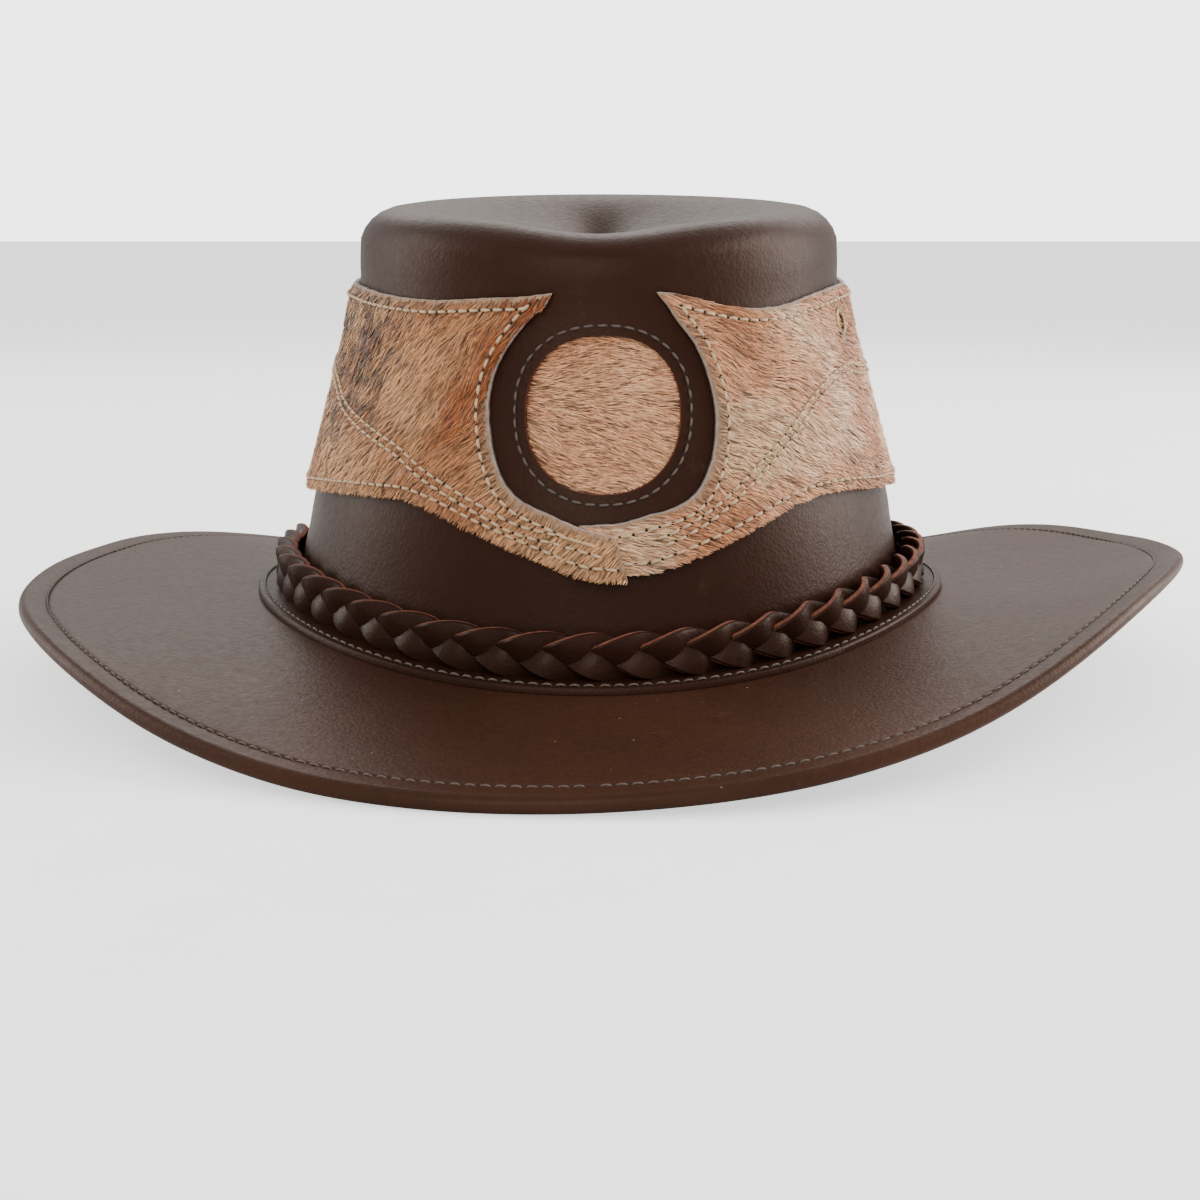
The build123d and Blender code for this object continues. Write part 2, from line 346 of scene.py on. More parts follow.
# short hair, coloured per hair by an attribute
def hairMaterial():
    mat, tree, shader = newMaterial("CowHair")
    tone = addNode(tree, "ShaderNodeAttribute", attribute_name="hairTone")
    coords = addNode(tree, "ShaderNodeTexCoord").outputs["Object"]
    streak = addNode(tree, "ShaderNodeTexNoise", Scale=900.0, Detail=3.0)
    tree.links.new(coords, streak.inputs["Vector"])
    shade = addRamp(tree, streak.outputs[0], [(0.3, (0.72, 0.70, 0.68)), (0.7, (1.0, 1.0, 1.0))])
    color = addMix(tree, 1.0, tone.outputs["Color"], shade, "MULTIPLY")
    tree.links.new(color, shader.inputs["Base Color"])
    shader.inputs["Roughness"].default_value = 0.42
    shader.inputs["Specular IOR Level"].default_value = 0.3
    return mat


hatLeather = leatherMaterial(
    "HatLeather", (0.0115, 0.0038, 0.0019), (0.036, 0.0130, 0.0072), rough=0.42)
brimLeather = leatherMaterial(
    "BrimLeather", (0.019, 0.0072, 0.0040), (0.058, 0.0232, 0.0135), dust=0.9, rough=0.41)
plaitLeather = leatherMaterial(
    "PlaitLeather", (0.012, 0.0046, 0.0028), (0.036, 0.0145, 0.0090), 1100.0, 0.2, 0.36)
bandLeather = leatherMaterial(
    "SweatbandLeather", (0.045, 0.026, 0.016), (0.11, 0.065, 0.042), 1300.0, 0.2, 0.6)
rawEdge = fibreMaterial("RawRedEdge", (0.060, 0.015, 0.007), (0.23, 0.065, 0.032))
footEdge = fibreMaterial("FootCutEdge", (0.022, 0.009, 0.006), (0.085, 0.030, 0.017))
hideEdge = fibreMaterial("HideCutEdge", (0.25, 0.20, 0.18), (0.52, 0.44, 0.40))
hideSkin = fibreMaterial("HideUnderHair", (0.20, 0.115, 0.065), (0.42, 0.27, 0.17))
creamThread = fibreMaterial("CreamThread", (0.42, 0.29, 0.16), (0.68, 0.51, 0.32), 2500.0, 0.6)
brownThread = fibreMaterial("BrownThread", (0.05, 0.036, 0.027), (0.13, 0.10, 0.08), 2500.0, 0.6)
# near-black discs laid at the needle holes: painted shade in the holes
holeShade = fibreMaterial("NeedleHoleShade", (0.004, 0.003, 0.002), (0.010, 0.007, 0.005), 900.0)
antiqueBrass = fibreMaterial("AntiqueBrass", (0.10, 0.065, 0.03), (0.36, 0.25, 0.12), 500.0, 0.38, 0.2, 1.0)
steel = fibreMaterial("SteelWire", (0.40, 0.40, 0.40), (0.60, 0.60, 0.60), 500.0, 0.35, 0.2, 1.0)
cowHair = hairMaterial()
print("materials made")

# crown
crownValues = {"leather": 2.2, "foot": 1.8, "dish": 11.0, "crease": 7.0, "pinch": 3.5, "flange": 13.6,
               "top": 107.6, "around": 240}


# a point on the top, where s runs from 1 at the rim to 0 in the middle
def crownTop(angle, s):
    x, y = 58.5 * s * math.sin(angle), -69.9 * s * math.cos(angle)
    dish = crownValues["dish"] * (1 - smoothStep(s ** 1.3))
    crease = crownValues["crease"] * math.exp(-(x / 8.0) ** 2 - ((y + 6) / 44.0) ** 4)
    crease *= smoothStep((1 - s) * 5)
    soft = 1.1 * noise.noise(Vector((x * 0.03, y * 0.03, 7.0))) * (1 - s ** 4)
    pinch = crownValues["pinch"] * math.exp(-(x / 24.0) ** 2 - ((y + 70.0) / 24.0) ** 2)
    return lean(x, y, crownValues["top"] - dish - crease - pinch + soft)


# rings from the edge of the foot up the side and in over the top
def crownRings(off):
    rings = []
    count = crownValues["around"]
    angles = [2 * math.pi * i / count for i in range(count)]
    foot = crownValues["foot"] + off
    for width in (crownValues["flange"], crownValues["flange"] - 0.4, 9.0, 4.0, 1.5):
        drop = 0.5 if width == crownValues["flange"] else 0.0
        ring = []
        for a in angles:
            x, y = ovalPoint(a, width)
            ring.append(Vector((x, y, brimTop(x, y) + hat["seamZ"] + foot - drop)))
        rings.append(ring)
    for z in (2.0, 4.5, 8, 13, 19, 26, 34, 42, 50, 58, 66, 74, 81, 87, 92, 96):
        ring = []
        for a in angles:
            x, y = ovalPoint(a, 0.6 + off)
            low = Vector((x, y, brimTop(x, y) + hat["seamZ"] + crownValues["foot"] + z))
            ring.append(low.lerp(onCrown(a, z - 4, off), smoothStep(z / 22)))
        rings.append(ring)
    # the rounded rim, then the dished top
    for step in range(1, 7):
        turn = math.pi / 2 * step / 6
        ring = []
        for a in angles:
            side = onCrown(a, 96, off)
            top = crownTop(a, 1.0)
            top.z += off
            p = side.lerp(top, 1 - math.cos(turn))
            p.z = side.z + (top.z - side.z) * math.sin(turn)
            ring.append(p)
        rings.append(ring)
    for step in range(1, 26):
        s = 1 - step / 26
        ring = [crownTop(a, s) + Vector((0, 0, off)) for a in angles]
        rings.append(ring)
    return rings


def makeCrown():
    count = crownValues["around"]
    outer = crownRings(0.0)
    inner = crownRings(-crownValues["leather"])
    for ring in inner[:5]:
        for p in ring:
            p.z += 0.5
    verts = [p for ring in reversed(inner[3:]) for p in ring]
    start = len(inner) - 3
    verts += [p for ring in outer for p in ring]
    # the underside of the foot and the outside join in one surface
    under = []
    for a in (2 * math.pi * i / count for i in range(count)):
        x, y = ovalPoint(a, crownValues["flange"])
        under.append(Vector((x, y, brimTop(x, y) + hat["seamZ"] + 0.1)))
    verts[start * count:start * count] = under
    rings = start + 1 + len(outer)
    faces = ringFaces(rings, count)
    for base, flip in ((0, True), ((rings - 1) * count, False)):
        centre = sum((verts[base + i] for i in range(count)), Vector()) / count
        verts.append(centre)
        for i in range(count):
            tri = (base + i, base + (i + 1) % count, len(verts) - 1)
            faces.append(tri[::-1] if flip else tri)
    obj = makeMesh("crown_body", verts, faces)
    outward(obj)
    return obj


crownBody = makeCrown()
medallion = {"x": 0.8, "z": 58.9, "halfWidth": 20.4, "halfHeight": 20.0, "stitchOut": 2.6, "square": 2.25}


# the rounded-square outline of the opening, grown by some amount
def medallionRing(grow, count=96):
    points = []
    for i in range(count):
        a = 2 * math.pi * i / count
        c, s = math.cos(a), math.sin(a)
        p = 2 / medallion["square"]
        points.append((medallion["x"] + (medallion["halfWidth"] + grow) * math.copysign(abs(c) ** p, c),
                       medallion["z"] + (medallion["halfHeight"] + grow) * math.copysign(abs(s) ** p, s)))
    return points


# where an x and a height meet the front of the crown
def frontPoint(x, z, off):
    a = smoothCurve(crownSide, z)
    return onCrown(math.asin(max(-0.999, min(0.999, x / a))), z, off)


def cutOpening(obj):
    count = 96
    ring = medallionRing(0.0, count)
    verts = [frontPoint(x, z, off) for off in (6, -7) for x, z in ring]
    faces = ringFaces(2, count) + [tuple(range(count))[::-1], tuple(range(count, 2 * count))]
    tool = makeMesh("opening_tool", verts, faces, False)
    tool.data.materials.append(rawEdge)
    outward(tool)
    applyModifier(obj, "BOOLEAN", operation="DIFFERENCE", solver="EXACT", object=tool)
    bpy.data.objects.remove(tool)


crownBody.data.materials.append(hatLeather)
crownBody.data.materials.append(rawEdge)
crownBody.data.materials.append(footEdge)
cutOpening(crownBody)
for poly in crownBody.data.polygons:
    c = poly.center / mm
    out = math.hypot(c.x / (hat["seamHalfWidth"] + 14.3),
                     (c.y - hat["seamShift"]) / (hat["seamHalfLength"] + 14.3))
    nearOpening = c.y < -60 and abs(c.x - medallion["x"]) < 21.5 and abs(c.z - hat["seamZ"] - 55) < 24
    if nearOpening and abs(poly.normal.y) < 0.7:
        poly.material_index = 1
    elif out > 0.999 and abs(poly.normal.z) < 0.8:
        poly.material_index = 2
bpy.ops.object.shade_smooth_by_angle(angle=math.radians(40))
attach(crownBody, "hat")
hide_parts("crown")
print("crown made")

# brim
brimValues = {"leather": 2.2, "hem": 8.0, "bead": 2.3, "wire": 0.8, "around": 360}


# the brim's section, as distances in from the edge and heights over its top face
def brimSection():
    top = [(None, 0.0)] + [(w, 0.0) for w in (70, 60, 50, 40, 32, 25, 19, 14, 11, 9.4)]
    groove = [(8.6, -0.10), (brimValues["hem"], -0.45), (7.4, -0.10), (6.4, 0.05)]
    bead = []
    r = brimValues["bead"]
    for i in range(13):
        t = math.radians(100 - 190 * i / 12)
        bead.append((r - r * math.cos(t), -r + 0.25 + r * math.sin(t)))
    low = [(5.0, -4.35), (6.5, -4.4), (8.2, -4.3), (8.5, -3.6), (8.6, -2.4)]
    under = [(w, -brimValues["leather"]) for w in (11, 14, 19, 25, 32, 40, 50, 60, 70, None)]
    return top + groove + bead + low + under


# the wire inside the rolled edge, in the same terms
def wireSection():
    turns = [2 * math.pi * i / 10 for i in range(10)]
    middle, r = brimValues["bead"], brimValues["wire"]
    return [(middle + r * math.cos(a), 0.25 - middle + r * math.sin(a)) for a in turns]


# a section carried all the way round the brim
def makeAround(name, section):
    count = brimValues["around"]
    verts = []
    for inset, rise in section:
        for i in range(count):
            a = 2 * math.pi * i / count
            ex, ey = hat["halfWidth"] * math.sin(a), -hat["halfLength"] * math.cos(a)
            ix, iy = ovalPoint(a, -1.2)
            full = math.hypot(ex - ix, ey - iy)
            t = 0.0 if inset is None else 1 - inset / full * (full / 85 if inset > 14 else 1)
            x, y = mix(ix, ex, t), mix(iy, ey, t)
            z = brimTop(x, y) + rise
            z += 0.35 * noise.noise(Vector((x * 0.022, y * 0.022, 2.0))) * smoothStep((t - 0.1) * 3)
            verts.append(Vector((x, y, z + hat["seamZ"])))
    obj = makeMesh(name, verts, ringFaces(len(section), count, closed=True))
    outward(obj)
    return obj


brimBody = makeAround("brim_body", brimSection())
brimBody.data.materials.append(brimLeather)
bpy.ops.object.shade_smooth_by_angle(angle=math.radians(50))
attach(brimBody, "hat")
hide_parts("brim")
edgeWire = makeAround("edge_wire", wireSection())
edgeWire.data.materials.append(steel)
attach(edgeWire, "hat")
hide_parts("brim_wire")
print("brim made")


# stitches
stitchValues = {"length": 2.7, "gap": 0.9, "radius": 0.34, "hole": 0.42, "sides": 6}
# how far along, how thick and how high a stitch is, end to end
stitchShape = [(0, 0.35, -0.35), (0.16, 0.95, 0.55), (0.5, 1.1, 0.85), (0.84, 0.95, 0.55), (1, 0.35, -0.35)]


# points evenly spaced along a line of points
def walk(points, step, closed=False):
    line = points + [points[0]] if closed else points
    out, left = [], 0.0
    for a, b in zip(line, line[1:]):
        span = (b - a).length
        if span < 1e-6:
            continue
        while left <= span:
            out.append(a.lerp(b, left / span))
            left += step
        left -= span
    return out


# short rounded stitches that dive into needle holes, along a line lying on a surface
def stitchRow(verts, faces, holes, points, normalAt, closed=False, radius=None, lift=0.1):
    radius = radius or stitchValues["radius"]
    step = (stitchValues["length"] + stitchValues["gap"]) / 4
    path = walk(points, step, closed)
    sides = stitchValues["sides"]
    for i in range(0, len(path) - 4, 4):
        a, b = path[i], path[i + 3]
        along = (b - a).normalized()
        up = normalAt(a.lerp(b, 0.5)).normalized()
        side = along.cross(up).normalized()
        slant = side * random.uniform(-0.12, 0.12)
        base = len(verts)
        for t, size, rise in stitchShape:
            c = a.lerp(b, t) + up * (radius * rise + lift) + slant * (t - 0.5)
            for k in range(sides):
                w = 2 * math.pi * k / sides
                verts.append(c + (side * math.cos(w) + up * math.sin(w)) * radius * size)
        for r in range(4):
            for k in range(sides):
                n = (k + 1) % sides
                faces.append((base + r * sides + k, base + r * sides + n,
                              base + (r + 1) * sides + n, base + (r + 1) * sides + k))
        faces.append(tuple(base + k for k in range(sides))[::-1])
        faces.append(tuple(base + 4 * sides + k for k in range(sides)))
        holes.append((a - along * 0.35, up, along))


def makeStitches(name, lines, node, thread, normalAt, closed=False, radius=None, lift=0.1):
    verts, faces, holes = [], [], []
    for line in lines:
        stitchRow(verts, faces, holes, line, normalAt, closed, radius, lift)
    threadFaces = len(faces)
    # a flat dark disc at each needle hole, painted shade where the hole goes into the leather
    for centre, up, along in holes:
        side = along.cross(up)
        base = len(verts)
        for k in range(6):
            w = 2 * math.pi * k / 6
            away = (side * math.cos(w) + along * math.sin(w)) * stitchValues["hole"]
            verts.append(centre + away + up * 0.06)
        faces.append(tuple(range(base, base + 6)))
    obj = makeMesh(name, verts, faces)
    obj.data.materials.append(thread)
    obj.data.materials.append(holeShade)
    for i, poly in enumerate(obj.data.polygons):
        poly.material_index = 1 if i >= threadFaces else 0
    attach(obj, "hat")
    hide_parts(node)


def upNormal(p):
    x, y = p.x, p.y
    h = 0.5
    dx = (brimTop(x + h, y) - brimTop(x - h, y)) / (2 * h)
    dy = (brimTop(x, y + h) - brimTop(x, y - h)) / (2 * h)
    return Vector((-dx, -dy, 1))


def wallNormal(p):
    return Vector((p.x / 70 ** 2, p.y / 84 ** 2, 0.0020))


def wallInward(p):
    return -wallNormal(p)


random.seed(4)
hemLine, seamLine = [], []
for i in range(360):
    a = 2 * math.pi * i / 360
    ex, ey = hat["halfWidth"] * math.sin(a), -hat["halfLength"] * math.cos(a)
    ix, iy = ovalPoint(a, -1.2)
    t = 1 - brimValues["hem"] / math.hypot(ex - ix, ey - iy)
    x, y = mix(ix, ex, t), mix(iy, ey, t)
    hemLine.append(Vector((x, y, brimTop(x, y) - 0.40 + hat["seamZ"])))
    x, y = ovalPoint(a, 11.6)
    seamLine.append(Vector((x, y, brimTop(x, y) + crownValues["foot"] + hat["seamZ"])))
makeStitches("brim_hem_stitches", [hemLine], "brim_hem_thread", brownThread, upNormal, True, 0.3)
makeStitches("crown_seam_stitches", [seamLine], "crown_seam_thread", brownThread, upNormal, True, 0.32)
ringLine = [frontPoint(x, z, 0.0) for x, z in medallionRing(medallion["stitchOut"], 120)]
makeStitches("medallion_stitches", [ringLine], "medallion_thread", brownThread, wallNormal, True, 0.36)
print("brown stitches made")

# hide panels
hideValues = {"thickness": 1.9, "hairs": 30000, "hairLength": 6.4, "hairWidth": 0.36, "around": 92.0}
# the panels' outlines, as angles round the crown and heights
leftEdge = {
    "top": [(-179.6, 86), (-150, 86), (-120, 86), (-100, 86), (-83, 86), (-71, 86.5), (-55, 86.2),
            (-40, 86.3), (-31, 87.2), (-24, 88), (-17, 88.6), (-10, 89.8)],
    "curve": [(-11.7, 86.2), (-14.9, 82.7), (-17.9, 78), (-20.4, 72.8), (-21.9, 67.1), (-22.2, 60.7),
              (-21.5, 54.4), (-20.2, 48.2), (-18.1, 42.1), (-14.6, 37.3), (-9.9, 34.4), (-4.5, 31.6),
              (2.8, 28.7)],
    "bottom": [(4.6, 17.8), (-1.9, 18.6), (-7, 20.8), (-17.7, 26.3), (-23.6, 29.3), (-30.1, 32.5),
               (-37.3, 34.6), (-45.2, 34), (-55, 32.5), (-70.3, 29.2), (-84.4, 26.3), (-110, 26.5),
               (-140, 28.5), (-179.6, 30)],
    "double": [(-179, 62), (-140, 63), (-110, 64), (-90, 63), (-73, 60), (-62.9, 54.6), (-52.8, 50.9),
               (-41.6, 46.9), (-34.4, 42.1), (-27.7, 38.2), (-20.3, 33.8), (-14.1, 30.1), (-4.6, 27.4),
               (3.0, 24.0)],
}
rightEdge = {
    "top": [(179.6, 86), (150, 86), (120, 86), (100, 86), (83, 86), (71.4, 86.8), (55.3, 86), (45.5, 84.6),
            (36.3, 84.4), (28.4, 85.6), (21.2, 87.9), (16.7, 89.4), (11.9, 90.1)],
    "curve": [(14.1, 86.6), (16.6, 82.1), (20, 76.1), (21.9, 70.1), (22.9, 63.2), (23.1, 58.1), (22.4, 51.8),
              (20.9, 45.6), (18.8, 40.7), (16.1, 37.2), (12.3, 35), (7.7, 33.5), (3.3, 31.9), (-3.6, 31.4)],
    "bottom": [(-3.2, 21), (0, 19.4), (8.3, 19.4), (13.6, 21.6), (19.1, 24.3), (25.1, 27.4), (30.5, 30.3),
               (36.6, 33.1), (44.7, 34.4), (54.4, 33.5), (65.9, 31), (73, 29.8), (84, 27.5), (110, 26.5),
               (140, 28.5), (179.6, 30)],
    "double": [(179, 60), (140, 61), (110, 61), (90, 61), (74, 62.5), (66, 64.6), (60, 64.2), (54.2, 62.8),
               (47, 58.9), (39.4, 52.2), (33.3, 46.6), (28, 41.5), (23.2, 36.7), (18.9, 32.9), (12.9, 28.7),
               (6.4, 25.6)],
}
eyelets = {"right_front": 66.5, "right_rear": 84.0, "left_front": -84.0, "left_rear": -101.5}
eyeletZ = 76.5


# a panel laid flat: the distance round the crown, and the height
def flat(point):
    return Vector((math.radians(point[0]) * hideValues["around"], point[1]))


def roundLine(points, step=1.6):
    pts = [flat(p) for p in points]
    out = []
    for i in range(len(pts) - 1):
        a, b, c, d = pts[max(0, i - 1)], pts[i], pts[i + 1], pts[min(len(pts) - 1, i + 2)]
        n = max(1, int((c - b).length / step))
        for k in range(n):
            t = k / n
            out.append(0.5 * ((2 * b) + (c - a) * t + (2 * a - 5 * b + 4 * c - d) * t * t
                              + (3 * b - a - 3 * c + d) * t ** 3))
    out.append(pts[-1])
    return out


# the left panel laps over the right one at the front
def hideLift(side, s):
    if side > 0:
        return 0.15
    return 0.15 + 1.9 * smoothStep((s + 14.5) / 8.0)


def onHide(side, p, off):
    return onCrown(p.x / hideValues["around"], p.y, off + hideLift(side, p.x))


def inside(p, poly):
    hit = False
    j = len(poly) - 1
    for i in range(len(poly)):
        a, b = poly[i], poly[j]
        if (a.y > p.y) != (b.y > p.y) and p.x < (b.x - a.x) * (p.y - a.y) / (b.y - a.y) + a.x:
            hit = not hit
        j = i
    return hit


def holesOn(side):
    return [flat((angle, eyeletZ)) for angle in eyelets.values() if angle * side > 0]


# triangles that fill an outline, with a round hole for each eyelet
def flatMesh(outline, holes, spacing=3.2):
    turns = [2 * math.pi * i / 16 for i in range(16)]
    rings = [outline]
    for h in holes:
        rings.append([h + Vector((math.cos(a), math.sin(a))) * 3.0 for a in turns])
    verts, edges = [], []
    for ring in rings:
        start = len(verts)
        verts += ring
        edges += [(start + i, start + (i + 1) % len(ring)) for i in range(len(ring))]
    low = Vector((min(p.x for p in outline), min(p.y for p in outline)))
    high = Vector((max(p.x for p in outline), max(p.y for p in outline)))
    y = low.y
    while y < high.y:
        x = low.x
        while x < high.x:
            p = Vector((x, y))
            if inside(p, outline) and all((p - h).length > 3.6 for h in holes):
                verts.append(p)
            x += spacing
        y += spacing
    out, _, tris, _, _, _ = geometry.delaunay_2d_cdt(verts, edges, [], 0, 1e-4)
    keep = []
    for t in tris:
        c = (out[t[0]] + out[t[1]] + out[t[2]]) / 3
        if inside(c, outline) and all((c - h).length > 2.9 for h in holes):
            keep.append(tuple(t))
    return [Vector(p) for p in out], keep


# a skin of hide with its thickness, in 3-D, from a flat outline
def hideBody(points, tris, place, thickness):
    used = {}
    for a, b, c in tris:
        for e in ((a, b), (b, c), (c, a)):
            used[e] = used.get(e, 0) + 1
    verts = [place(p, thickness) for p in points] + [place(p, 0.0) for p in points]
    n = len(points)
    faces = [t for t in tris] + [(c + n, b + n, a + n) for a, b, c in tris]
    kinds = [0] * len(tris) + [1] * len(tris)
    for (a, b) in used:
        if (b, a) not in used:
            faces.append((b, a, a + n, b + n))
            kinds.append(1)
    return verts, faces, kinds


furColors = {
    "beige": (0.80, 0.43, 0.20),
    "ginger": (0.40, 0.120, 0.032),
    "pink": (0.98, 0.51, 0.28),
    "pale": (1.00, 0.70, 0.44),
    "darkLeft": (0.055, 0.040, 0.036),
    "darkRight": (0.11, 0.07, 0.05),
}


def mixColor(a, b, t):
    return [mix(p, q, t) for p, q in zip(a, b)]


# the hair's colour at a place on a panel: patches of ginger, with darker flecks
def furTone(kind, s, z):
    n = noise.noise(Vector((s * 0.035, z * 0.05, 1.3)))
    m = noise.noise(Vector((s * 0.12, z * 0.16, 5.1)))
    speck = noise.noise(Vector((s * 0.30, z * 0.34, 9.7)))
    if kind == "left":
        near = smoothStep((s + 78) / 46) * smoothStep((z - 42) / 26)
        g = max(0.0, min(1.0, 0.12 + near * 1.0 + n * 0.8 + m * 0.4))
        color = mixColor(furColors["beige"], furColors["ginger"], g)
        dark = smoothStep((-s - 62) / 30) * smoothStep((z - 34) / 26)
        if speck + 0.35 * m > 0.46 - 0.50 * dark:
            color = mixColor(color, furColors["darkLeft"], 0.55 + 0.25 * dark)
    elif kind == "right":
        g = max(0.0, min(1.0, 0.22 + n * 1.0 + m * 0.5 + 0.35 * smoothStep((s - 70) / 40)))
        color = mixColor(furColors["pink"], furColors["ginger"], g * 0.75)
        if n + m * 0.5 < -0.18:
            color = mixColor(color, furColors["pale"], 0.45)
        if speck > 0.52:
            color = mixColor(color, furColors["darkRight"], 0.5)
    else:
        g = max(0.0, min(1.0, 0.38 + n * 0.7 + m * 0.6))
        color = mixColor(furColors["pink"], furColors["ginger"], g * 0.45)
    return color


# tapered hairs lying along the hide, each in two faces, with a tone kept per point; the root end is darkened
# as painted shade among the hairs
def growFur(verts, faces, kinds, tones, kind, outline, holes, place, flow, count, length, seed):
    rng = random.Random(seed)
    low = Vector((min(p.x for p in outline), min(p.y for p in outline)))
    high = Vector((max(p.x for p in outline), max(p.y for p in outline)))
    made = 0
    while made < count:
        p = Vector((rng.uniform(low.x, high.x), rng.uniform(low.y, high.y)))
        if not inside(p, outline) or any((p - h).length < 4.6 for h in holes):
            continue
        made += 1
        d = flow
        swirl = 0.45 * noise.noise(Vector((p.x * 0.05, p.y * 0.05, seed))) \
            + 0.35 * noise.noise(Vector((p.x * 0.25, p.y * 0.25, seed + 3.0))) + rng.gauss(0, 0.13)
        c, s = math.cos(swirl), math.sin(swirl)
        d = Vector((d.x * c - d.y * s, d.x * s + d.y * c)).normalized()
        size = length * rng.uniform(0.65, 1.15)
        while size > 1.5 and not inside(p + d * (size - 1.1), outline):
            size *= 0.75
        tuft = 0.5 + 0.5 * noise.noise(Vector((p.x * 0.4, p.y * 0.4, seed + 8.0)))
        a = place(p, hideValues["thickness"] - 0.1)
        ax = place(p + Vector((1, 0)), hideValues["thickness"] - 0.1) - a
        ay = place(p + Vector((0, 1)), hideValues["thickness"] - 0.1) - a
        ax.normalize()
        ay.normalize()
        up = ax.cross(ay).normalized()
        if up.dot(Vector((a.x, a.y, 0))) < 0:
            up = -up
        along = (ax * d.x + ay * d.y).normalized()
        side = up.cross(along).normalized()
        side = (side + up * rng.uniform(-0.5, 0.5)).normalized() * hideValues["hairWidth"] * 0.5
        side *= rng.uniform(0.8, 1.2)
        rise = rng.uniform(0.35, 1.0) + 0.5 * tuft
        middle = a + along * size * 0.5 + up * rise
        tip = a + along * size + up * (rise * rng.uniform(0.5, 1.25) + 0.1)
        base = len(verts)
        verts += [a - side, a + side, middle + side * 0.8, middle - side * 0.8, tip]
        faces += [(base, base + 1, base + 2, base + 3), (base + 3, base + 2, base + 4)]
        kinds += [2, 2]
        tone = furTone(kind, p.x + rng.gauss(0, 1.2), p.y + rng.gauss(0, 1.0))
        light = rng.uniform(0.62, 1.25) * (0.38 if rng.random() < 0.17 else 1.0)
        # the root end darkened as painted shade among the hairs; the tip a little lighter
        shadedRoot = [min(1.0, t * light * 0.38) for t in tone]
        body = [min(1.0, t * light) for t in tone]
        end = [min(1.0, t * light * 1.22) for t in tone]
        tones += [shadedRoot, shadedRoot, body, body, end]


def finishHide(name, node, verts, faces, kinds, tones, bodyCount):
    obj = makeMesh(name, verts, faces)
    for mat in (hideSkin, hideEdge, cowHair):
        obj.data.materials.append(mat)
    for poly, kind in zip(obj.data.polygons, kinds):
        poly.material_index = kind
    layer = obj.data.color_attributes.new("hairTone", "FLOAT_COLOR", "POINT")
    for i in range(bodyCount):
        layer.data[i].color = (0.4, 0.25, 0.15, 1)
    for i, tone in enumerate(tones):
        layer.data[bodyCount + i].color = (*tone, 1)
    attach(obj, "hat")
    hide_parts(node)


hairCount = hideValues["hairs"]


def makePanel(side, edge, name, node, flow, seed):
    line = roundLine(edge["top"]) + roundLine(edge["curve"]) + roundLine(edge["bottom"])
    outline = [line[0]]
    for p in line[1:]:
        if (p - outline[-1]).length > 0.5:
            outline.append(p)
    # a slightly ragged cut
    outline = [p + Vector((0.25 * noise.noise(Vector((p.x * 0.4, p.y * 0.4, seed))),
                           0.25 * noise.noise(Vector((p.x * 0.4, p.y * 0.4, seed + 5.0))))) for p in outline]
    holes = holesOn(side)
    points, tris = flatMesh(outline, holes)

    def place(p, off):
        return onHide(side, p, off)

    verts, faces, kinds = hideBody(points, tris, place, hideValues["thickness"])
    bodyCount = len(verts)
    tones = []
    kind = "left" if side < 0 else "right"
    growFur(verts, faces, kinds, tones, kind, outline, holes, place, flow, hairCount,
            hideValues["hairLength"], seed)
    finishHide(name, node, verts, faces, kinds, tones, bodyCount)


makePanel(-1, leftEdge, "left_hide", "hide_panel_left", Vector((-0.55, -0.83)), 11)
makePanel(1, rightEdge, "right_hide", "hide_panel_right", Vector((0.88, -0.47)), 23)
print("hide panels made")


# rows of cream stitches: lines set in from the cut edge, and the double line between
def insetLine(points, amount, side):
    line = roundLine(points, 1.2)
    out = []
    for i in range(3, len(line) - 3):
        t = (line[min(len(line) - 1, i + 2)] - line[max(0, i - 2)]).normalized()
        out.append(line[i] + Vector((t.y, -t.x)) * amount * side)
    return out


def creamStitches(name, side, lines, node):
    off = hideValues["thickness"] + 1.05
    lifted = [[onHide(side, p, off) for p in line] for line in lines]
    makeStitches(name, lifted, node, creamThread, wallNormal, False, 0.42, 0.0)


for side, edge, word in ((-1, leftEdge, "left"), (1, rightEdge, "right")):
    borders = [insetLine(edge[part], 3.0, -side) for part in ("top", "curve", "bottom")]
    creamStitches(word + "_border_stitches", side, borders, "hide_panel_" + word + "_border_thread")
    doubles = [insetLine(edge["double"], 1.1, 1), insetLine(edge["double"], 1.1, -1)]
    creamStitches(word + "_double_stitches", side, doubles, "hide_panel_" + word + "_double_thread")
print("cream stitches made")

# medallion
patchOutline = [Vector((x, z)) for x, z in medallionRing(5.4, 80)]


def onPatch(p, off):
    dome = 1.3 * max(0.0, 1 - ((p.x - medallion["x"]) / 22) ** 2 - ((p.y - medallion["z"]) / 22) ** 2)
    return frontPoint(p.x, p.y, -crownValues["leather"] - 0.1 - hideValues["thickness"] + off + dome)


points, tris = flatMesh(patchOutline, [])
verts, faces, kinds = hideBody(points, tris, onPatch, hideValues["thickness"])
bodyCount = len(verts)
tones = []
furOutline = [Vector((x, z)) for x, z in medallionRing(1.5, 64)]
growFur(verts, faces, kinds, tones, "medallion", furOutline, [], onPatch, Vector((0.97, -0.2)),
        hairCount // 6, 5.6, 37)
finishHide("medallion_hide", "medallion_patch", verts, faces, kinds, tones, bodyCount)
print("medallion made")

# vent eyelets
eyeletValues = {"hole": 3.0, "rim": 3.45, "bead": 0.85, "rimOut": 2.75, "barrel": 2.75, "barrelLength": 6.2,
                "back": 3.7, "backBead": 0.7, "backIn": 2.8}


# stand a piece made at the origin on the crown, its axis pointing outwards
def placed(obj, centre, out):
    turn = out.to_track_quat("Z", "Y").to_matrix().to_4x4()
    turn.translation = centre * mm
    obj.data.transform(turn)
    obj.data.update()


